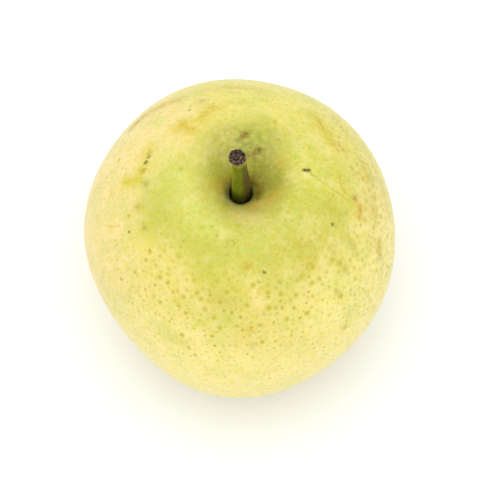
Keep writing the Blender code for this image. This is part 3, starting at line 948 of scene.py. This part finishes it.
def stalkMesh():
    s, sides = stalk, stalk["sides"]
    turns = [2 * pi * i / sides for i in range(sides)]
    points, shades = [], []  # a shade is the share of the height, above 1 on the cut end, and the direction
    for ring in range(s["rings"] + 1):
        share = ring / s["rings"]
        height = s["height"] * share
        middle, radius = stalkMiddle(height), stalkRadius(height)
        edge = min(1, min(height, s["height"] - height) / s["cutEdge"])
        rounding = s["cutEdge"] * (1 - sqrt(max(0, 1 - (1 - edge) ** 2)))
        for turn in turns:
            rib = s["ribShare"] * cos(s["ribs"] * turn + s["twist"] * share)
            broad = towards(turn) * 3.52 + up * share * 8
            fine = towards(turn) * 6.6 + up * share * 9
            crease = noise.noise(broad) * 0.7 + noise.noise(fine) * 0.5
            out = radius * (1 + rib) - rounding + s["wrinkle"] * (crease - 0.4)
            points.append(middle + towards(turn) * out)
            shades.append((share, turn))
    end = stalkMiddle(s["height"])
    for ring in range(1, s["cutRings"]):
        share = 1 - ring / s["cutRings"]
        for turn in turns:
            flat = towards(turn) * share
            rough = noise.noise(flat * 3.1 + Vector((4, 1, 2)))
            rough += 0.7 * noise.noise(flat * 8 + Vector((1, 5, 3)))
            depth = s["cutDish"] * float(grows(share, 1, -0.16)) + 0.02 * mm
            depth += s["cutRoughness"] * rough * float(grows(share, 1, -0.12))
            points.append(end + flat * (s["end"] - s["cutEdge"]) - up * max(0, depth))
            shades.append((2 - share, turn))
    points += [end - up * s["cutDish"], stalkMiddle(0)]
    shades += [(2, 0), (0, 0)]
    rings = s["rings"] + s["cutRings"] - 1
    faces = tubeFaces(0, rings, sides)
    for i in range(sides):
        j = (i + 1) % sides
        faces.append((rings * sides + i, rings * sides + j, len(points) - 2))
        faces.append((j, i, len(points) - 1))
    return points, faces, shades


def stalkTones(shades):
    s = stalk
    share, turn = np.array(shades).T[:, :, None]
    toRight = grows(np.cos(turn + 0.20), 0.15, 0.55)
    toLeft = grows(-np.cos(turn), 0.60, 0.35)
    # painted light: paler green down the left side, as if lit from there
    tone = blended(s["green"], s["litSideGreen"], 0.8 * toLeft)
    tone = blended(tone, s["brown"], 0.9 * toRight * (0.55 + 0.45 * grows(share, 0.90, -0.20)))
    # painted shade: darker down the foot, where it stands in the pit
    tone = blended(tone, s["footShade"], 0.65 * grows(share, 0.45, -0.12))
    return blended(tone, s["endTone"], 0.8 * grows(share, 0.875, 0.05))


def stalkMaterial():
    s = stalk
    look = Finish("stalkBark")
    streaks = look.noise(1700, 4, 0.6, stretch=(1, 1, 0.16))
    blotches = look.noise(700, 3, 0.6)
    base = look.attribute("stalkTone")["Color"]
    base = look.mix(look.step(streaks, 0.48, 0.75, 0.0, 0.40), base, s["darkStreak"])
    base = look.mix(look.step(streaks, 0.45, 0.25, 0.0, 0.30), base, s["paleStreak"])
    base = look.mix(look.step(blotches, 0.58, 0.72, 0.0, 0.35), base, s["blotch"])

    # the cut end: dark dry fibres with grey, pinkish and golden specks
    cut = look.attribute("stalkCut")["Fac"]
    fibres = look.step(look.noise(1500, 3, 0.6, (0.4, 0.2, 0.3)), 0.38, 0.60)
    speck = look.step(look.noise(1600, 3, 0.7), 0.55, 0.64)
    pink = look.step(look.noise(1300, 2, 0.6, (0.9, 0.6, 0.1)), 0.52, 0.64)
    gold = look.step(look.noise(1500, 2, 0.6, (0.1, 0.8, 0.5)), 0.60, 0.68)
    end = look.mix(fibres, s["cutDark"], s["cutBrown"])
    end = look.mix(look.times(speck, 0.75), end, s["cutGrey"])
    end = look.mix(look.times(look.times(speck, pink), 0.7), end, s["cutPink"])
    end = look.mix(look.times(gold, 0.8), end, s["cutGold"])

    specks = look.times(look.times(speck, cut), s["speckHeight"])
    height = look.maths("ADD", look.times(streaks, s["streakHeight"]), specks)
    roughness = look.maths("MULTIPLY_ADD", streaks, 0.2, 0.38)
    look.fill(look.shader, {
        "Base Color": look.mix(cut, base, end),
        "Roughness": look.maths("MULTIPLY_ADD", cut, 0.3, roughness),
        "Specular IOR Level": s["gloss"],
        "Normal": look.bump(height, 0.8),
    })
    return look.material


stalkPoints, stalkFaces, stalkShades = stalkMesh()
stem = addObject("stalkWood", stalkPoints, stalkFaces, stalkMaterial())
cutShare = [share > stalk["darkFrom"] for share, turn in stalkShades]
paint(stem.data, stalkTone=stalkTones(stalkShades), stalkCut=cutShare)
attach(stem, "root")
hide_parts("stalk")
print("stalk finished")


# the dried eye underneath: a cup, five curled sepals and a tuft

eye = {
    "seed": 5,
    "gap": 0.3 * mm,
    "cupRadius": 3.2 * mm,
    "cupLength": 2.4 * mm,
    "cupWall": 0.8 * mm,
    "cupSides": 60,
    "sepals": 5,
    "sepalLength": 5.2 * mm,
    "sepalWidth": 2.7 * mm,
    "sepalThickness": 0.45 * mm,
    "sepalCurl": radians(62),
    "sepalWave": 0.10 * mm,
    "sepalRings": 18,
    "sepalSides": 20,
    "stamens": 15,
    "stamenRadius": 0.16 * mm,
    "stamenLength": 3.4 * mm,
    "stamenRings": 8,
    "stamenSides": 8,
    "dark": colour(50, 36, 24),
    "brown": colour(104, 78, 48),
    "pale": colour(142, 116, 78),
    "fibreHeight": 0.08 * mm,
}


def levelRing(middle, radius, count, wobble=0.0, at=0.0):
    ring = []
    for i in range(count):
        out = towards(2 * pi * i / count)
        uneven = 1 + wobble * noise.noise(out * 1.7 + up * at)
        ring.append(middle + out * radius * uneven)
    return ring


def joinRings(rings, points, faces):  # a closed body, with a flat face at each end
    count, first = len(rings[0]), len(points)
    for ring in rings:
        points.extend(ring)
    faces.extend(tubeFaces(first, len(rings) - 1, count))
    faces.append(tuple(range(first + count - 1, first - 1, -1)))
    faces.append(tuple(range(len(points) - count, len(points))))


def cupRings(top):
    outer, wall, length = eye["cupRadius"], eye["cupWall"], eye["cupLength"]
    inner = outer - wall
    line = (  # how far below the socket's roof, and the radius: up the outside, over the rim and in
        (0.0, inner * 0.5),
        (0.0, outer - 0.15 * mm),
        (0.15 * mm, outer),
        (length * 0.5, outer - 0.05 * mm),
        (length - 0.1 * mm, outer - 0.2 * mm),
        (length, outer - 0.4 * mm),
        (length - 0.1 * mm, inner),
        (wall * 1.4, inner - 0.2 * mm),
        (wall, inner * 0.5),
    )
    return [levelRing(up * (top - drop), radius, eye["cupSides"], 0.03, drop * 900) for drop, radius in line]


def sepalRings(k, top, draw):
    e = eye
    turn = 2 * pi * k / e["sepals"] + draw.uniform(-0.08, 0.08)
    outward, side = towards(turn), up.cross(towards(turn))
    curl = e["sepalCurl"] * draw.uniform(0.86, 1.0)
    bend = e["sepalLength"] * draw.uniform(0.86, 1.0) / curl
    skew = draw.uniform(-0.35, 0.35) * mm
    start = outward * (e["cupRadius"] - e["cupWall"] / 2) + up * (top - e["cupLength"] + e["cupWall"])
    rings = []
    for n in range(e["sepalRings"] + 1):
        share = n / e["sepalRings"]
        angle = curl * share
        middle = start + outward * bend * (1 - cos(angle)) - up * bend * sin(angle)
        middle = middle + side * skew * share ** 2
        face = outward * cos(angle) + up * sin(angle)
        wide = e["sepalWidth"] / 2 * max(0.05, cos(pi / 2 * share) ** 0.8)
        thick = e["sepalThickness"] / 2 * (1 - 0.5 * share)
        ring = []
        for i in range(e["sepalSides"]):
            at = 2 * pi * i / e["sepalSides"]
            across = cos(at)
            wave = e["sepalWave"] * sin(share * 13 + k * 2 + across * 2.5)
            raised = thick * sin(at) + (wave - 0.35 * wide) * abs(across)
            ring.append(middle + side * wide * across + face * raised)
        rings.append(ring)
    return rings


def stamenRings(k, top, draw):
    e = eye
    turn = 2 * pi * k / e["stamens"] + draw.uniform(-0.2, 0.2)
    outward, side = towards(turn), up.cross(towards(turn))
    spread = (0.6 + 1.1 * (k % 3) / 2) * mm
    lean = draw.uniform(0.2, 0.75) * mm
    length = e["stamenLength"] * draw.uniform(0.6, 1.0)
    sway = draw.uniform(-0.6, 0.6) * mm
    thickness = [1.0] * (e["stamenRings"] - 1) + [2.0, 0.5]  # a knob at the tip
    rings = []
    for n, thick in enumerate(thickness):
        share = n / e["stamenRings"]
        middle = outward * (spread + lean * share ** 1.5) + side * sway * share ** 2
        middle = middle + up * (top - e["cupWall"] * 0.6 - length * share)
        radius = e["stamenRadius"] * (1 - 0.35 * share) * thick
        rings.append(levelRing(middle, radius, e["stamenSides"]))
    return rings


def eyeMesh():
    draw = random.Random(eye["seed"])
    top = fruit["socketTop"] - eye["gap"]
    points, faces = [], []
    joinRings(cupRings(top), points, faces)
    for k in range(eye["sepals"]):
        joinRings(sepalRings(k, top, draw), points, faces)
    for k in range(eye["stamens"]):
        joinRings(stamenRings(k, top, draw), points, faces)
    return [p + fruitAxis for p in points], faces


def eyeMaterial():
    look = Finish("driedSepal")
    patches = look.noise(900, 4, 0.65)
    fibres = look.noise(3200, 3, 0.6)
    base = look.mix(look.step(patches, 0.38, 0.62), eye["dark"], eye["brown"])
    look.fill(look.shader, {
        "Base Color": look.mix(look.step(fibres, 0.50, 0.72, 0.0, 0.6), base, eye["pale"]),
        "Roughness": look.step(fibres, 0.3, 0.7, 0.75, 0.95),
        "Normal": look.bump(look.times(fibres, eye["fibreHeight"]), 0.8),
    })
    return look.material


driedEye = addObject("driedEye", *eyeMesh(), eyeMaterial())
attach(driedEye, "root")
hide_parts("calyx")
print("eye finished")


# the white table and the soft light

studio = {
    "floorSize": 8.0,
    "floorSquares": 12,
    "floorTone": (0.91, 0.91, 0.91, 1.0),
    "floorToneToo": (0.896, 0.896, 0.896, 1.0),
    "floorRoughness": 0.9,
    "white": (1.0, 1.0, 1.0, 1.0),
    "palerFrom": 0.3,  # metres from the fruit, where the key light falls off
    "palerTo": 1.4,
    "world": 0.97,
    "keyPower": 6.5,
    "keySize": 1.3,
    "keyAt": (-0.04, -0.16, 1.15),
    "keyAim": (0, 0, 0.04),
}


def addFloor():
    s, count = studio, studio["floorSquares"]
    look = Finish("whiteTable")
    cloudy = look.step(look.noise(6.0, 2, 0.5), 0.3, 0.7)
    away = look.step(look.vector("LENGTH", look.where)["Value"], s["palerFrom"], s["palerTo"])
    base = look.mix(away, look.mix(cloudy, s["floorTone"], s["floorToneToo"]), s["white"])
    look.fill(look.shader, {"Base Color": base, "Roughness": s["floorRoughness"]})
    steps = [s["floorSize"] * (i / count - 0.5) for i in range(count + 1)]
    points = [(x, y, 0) for y in steps for x in steps]
    corners = [j * (count + 1) + i for j in range(count) for i in range(count)]
    faces = [(c, c + 1, c + count + 2, c + count + 1) for c in corners]
    floor = addObject("whiteTable", points, faces, look.material)


def addLight():
    s = studio
    world = bpy.data.worlds.new("softRoom")
    world.use_nodes = True
    background = world.node_tree.nodes["Background"]
    background.inputs["Color"].default_value = s["white"]
    background.inputs["Strength"].default_value = s["world"]
    bpy.context.scene.world = world
    lamp = bpy.data.lights.new("softKey", "AREA")
    lamp.shape = "DISK"
    lamp.size = s["keySize"]
    lamp.energy = s["keyPower"]
    thing = putInScene("softKey", lamp)
    thing.location = s["keyAt"]
    thing.rotation_euler = (Vector(s["keyAim"]) - Vector(s["keyAt"])).to_track_quat("-Z", "Y").to_euler()
    bpy.context.scene.view_settings.view_transform = "Standard"


addFloor()
addLight()
print("studio lit")
